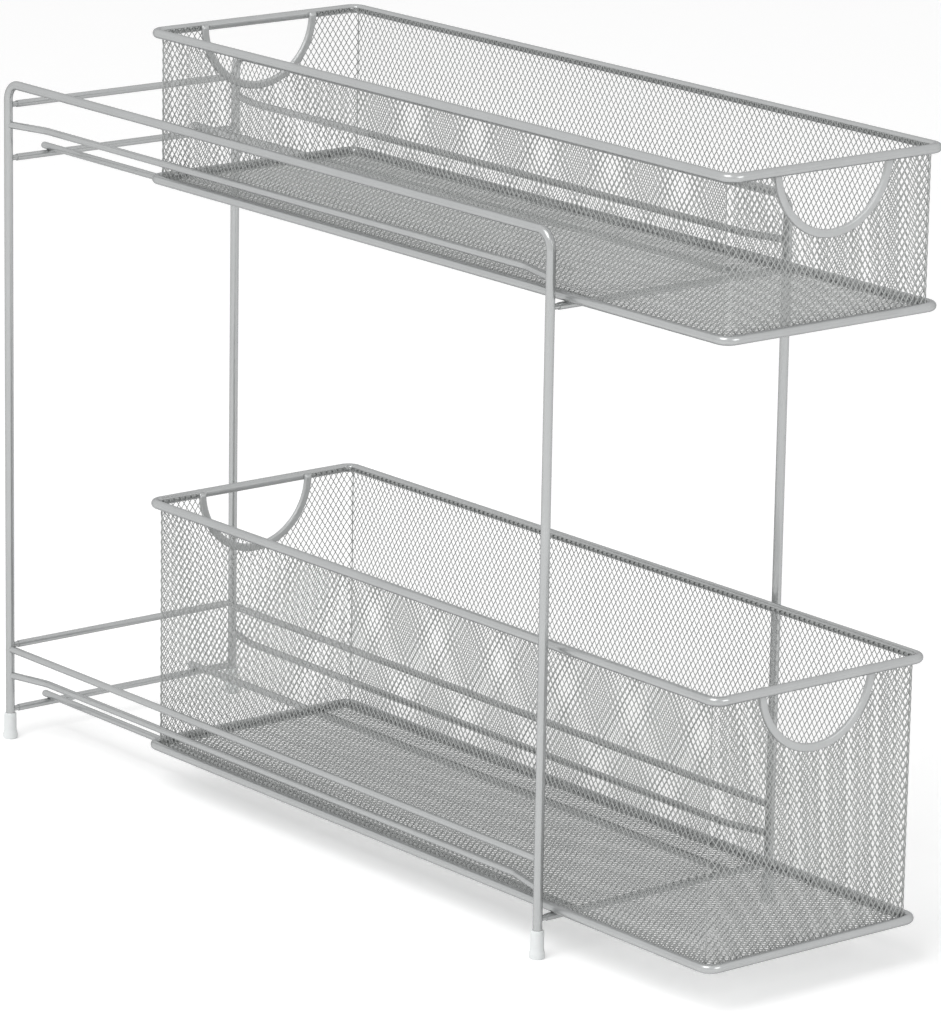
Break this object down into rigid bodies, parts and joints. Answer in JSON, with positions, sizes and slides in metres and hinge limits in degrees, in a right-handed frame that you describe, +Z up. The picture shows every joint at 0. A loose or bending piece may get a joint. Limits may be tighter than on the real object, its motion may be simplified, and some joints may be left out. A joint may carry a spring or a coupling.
{
  "type": "under sink organizer",
  "caption": "Tall narrow wire frame on capped feet, carrying expanded metal baskets that slide out to the front on rails, with hand holes in their end walls.",
  "frame": {"origin": "on the floor, under the middle of the box round the whole model with the baskets pulled out as in the picture", "axes": "+Z up, -Y towards the front, where the baskets slide out, +X to the right seen from the front"},
  "size_m": [0.1602, 0.5862, 0.4147],
  "materials": {
    "frame_wire": "silver powder coat, satin",
    "basket_rim": "silver powder coat, satin",
    "mesh": "silver powder coat on expanded metal",
    "handle_trim": "silver powder coat, satin",
    "foot_cap": "soft translucent white plastic"
  },
  "bodies": {
    "frame": {"left_hoop": "frame_wire", "right_hoop": "frame_wire", "left_side_bar": "frame_wire", "right_side_bar": "frame_wire", "upper_left_guide_rail": "frame_wire", "upper_right_guide_rail": "frame_wire", "lower_left_guide_rail": "frame_wire", "lower_right_guide_rail": "frame_wire", "upper_stop_bar": "frame_wire", "upper_shelf_bar": "frame_wire", "lower_stop_bar": "frame_wire", "lower_shelf_bar": "frame_wire", "upper_front_bar": "frame_wire", "lower_front_bar": "frame_wire", "upper_left_support_rail": "frame_wire", "upper_right_support_rail": "frame_wire", "lower_left_support_rail": "frame_wire", "lower_right_support_rail": "frame_wire", "rear_bar_studs": "frame_wire", "front_bar_studs": "frame_wire", "front_left_foot_cap": "foot_cap", "front_right_foot_cap": "foot_cap", "rear_left_foot_cap": "foot_cap", "rear_right_foot_cap": "foot_cap"},
    "upper_basket": {"upper_basket_top_rim": "basket_rim", "upper_basket_bottom_rim": "basket_rim", "upper_basket_floor_mesh": "mesh", "upper_basket_left_mesh": "mesh", "upper_basket_right_mesh": "mesh", "upper_basket_front_mesh": "mesh", "upper_basket_rear_mesh": "mesh", "upper_basket_front_handle_trim": "handle_trim", "upper_basket_rear_handle_trim": "handle_trim"},
    "lower_basket": {"lower_basket_top_rim": "basket_rim", "lower_basket_bottom_rim": "basket_rim", "lower_basket_floor_mesh": "mesh", "lower_basket_left_mesh": "mesh", "lower_basket_right_mesh": "mesh", "lower_basket_front_mesh": "mesh", "lower_basket_rear_mesh": "mesh", "lower_basket_front_handle_trim": "handle_trim", "lower_basket_rear_handle_trim": "handle_trim"}
  },
  "joints": [
    {"name": "upper_basket_slide", "type": "slide", "parent": "frame", "child": "upper_basket", "axis": [0, -1, 0], "range_m": [-0.12, 0.18]},
    {"name": "lower_basket_slide", "type": "slide", "parent": "frame", "child": "lower_basket", "axis": [0, -1, 0], "range_m": [-0.12, 0.18]}
  ]
}
